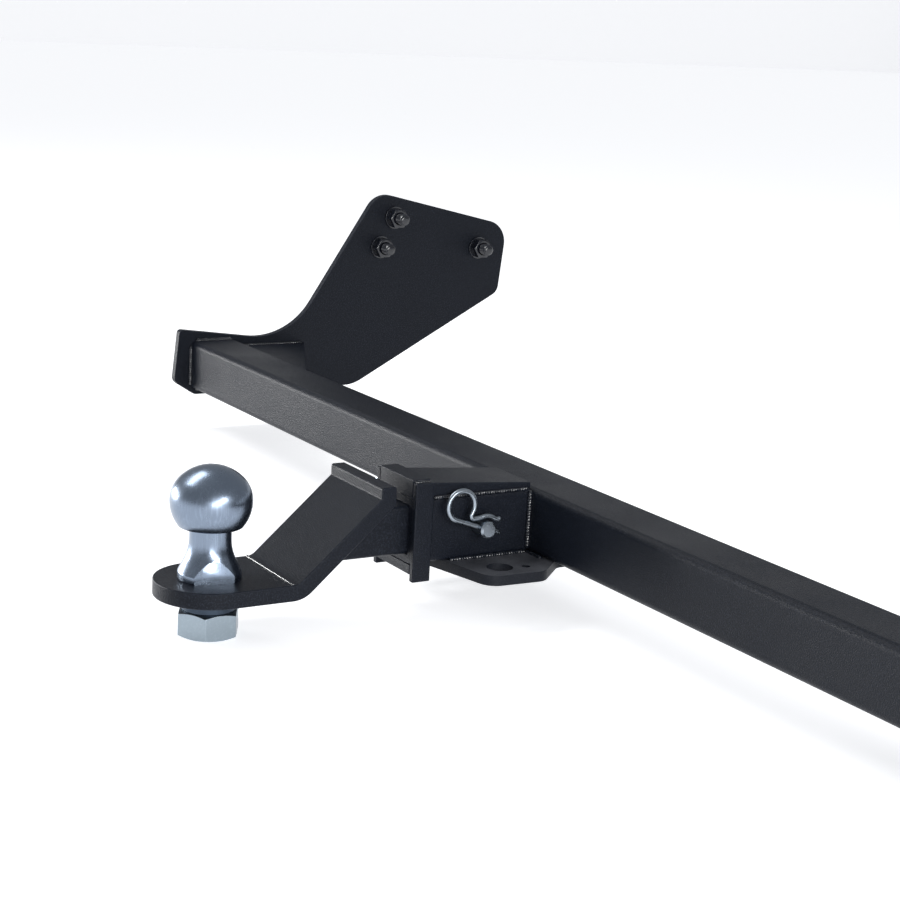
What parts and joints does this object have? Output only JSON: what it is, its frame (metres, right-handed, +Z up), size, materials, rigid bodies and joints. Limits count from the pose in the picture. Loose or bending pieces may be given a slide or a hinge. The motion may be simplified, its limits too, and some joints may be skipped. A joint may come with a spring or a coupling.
{
  "type": "tow bar",
  "caption": "Square tube tow bar with two side arm plates, a receiver tube, a bent ball tongue held by a pin and clip, and a safety chain plate.",
  "frame": {"origin": "centre of the tow ball", "axes": "+X to the vehicle's right, +Y forwards to the vehicle, +Z up"},
  "size_m": [1.261, 0.6677, 0.2401],
  "materials": {
    "black_paint": "satin, finely textured",
    "ball_steel": "polished",
    "nut_steel": "zinc plated",
    "washer_steel": "dark zinc",
    "zinc": "bright zinc",
    "bolt_steel": "satin"
  },
  "bodies": {
    "bar": {"cross_beam": "black_paint", "receiver_tube": "black_paint", "arm_plate_left": "black_paint", "gusset_left": "black_paint", "arm_bolts_left": "bolt_steel", "arm_washers_left": "bolt_steel", "arm_nuts_left": "bolt_steel", "arm_plate_right": "black_paint", "gusset_right": "black_paint", "arm_bolts_right": "bolt_steel", "arm_washers_right": "bolt_steel", "arm_nuts_right": "bolt_steel", "collar_top_bar": "black_paint", "collar_bottom_bar": "black_paint", "collar_side_bar_left": "black_paint", "collar_side_bar_right": "black_paint", "top_plate": "black_paint", "chain_plate": "black_paint", "tongue_plate": "black_paint", "shank_bar": "black_paint", "tow_ball": "ball_steel", "ball_washer": "washer_steel", "spring_washer": "washer_steel", "ball_nut": "nut_steel"},
    "pin": {"hitch_pin": "zinc"},
    "clip": {"r_clip": "zinc"}
  },
  "joints": [
    {"name": "pin_turn", "type": "hinge", "parent": "bar", "child": "pin", "pos_m": [0, 0.207, -0.0315], "axis": [1, 0, 0], "range_deg": [-98, 52]},
    {"name": "clip_pull", "type": "slide", "parent": "pin", "child": "clip", "axis": [0, -0.9483, 0.3173], "range_m": [0, 0.04]}
  ]
}
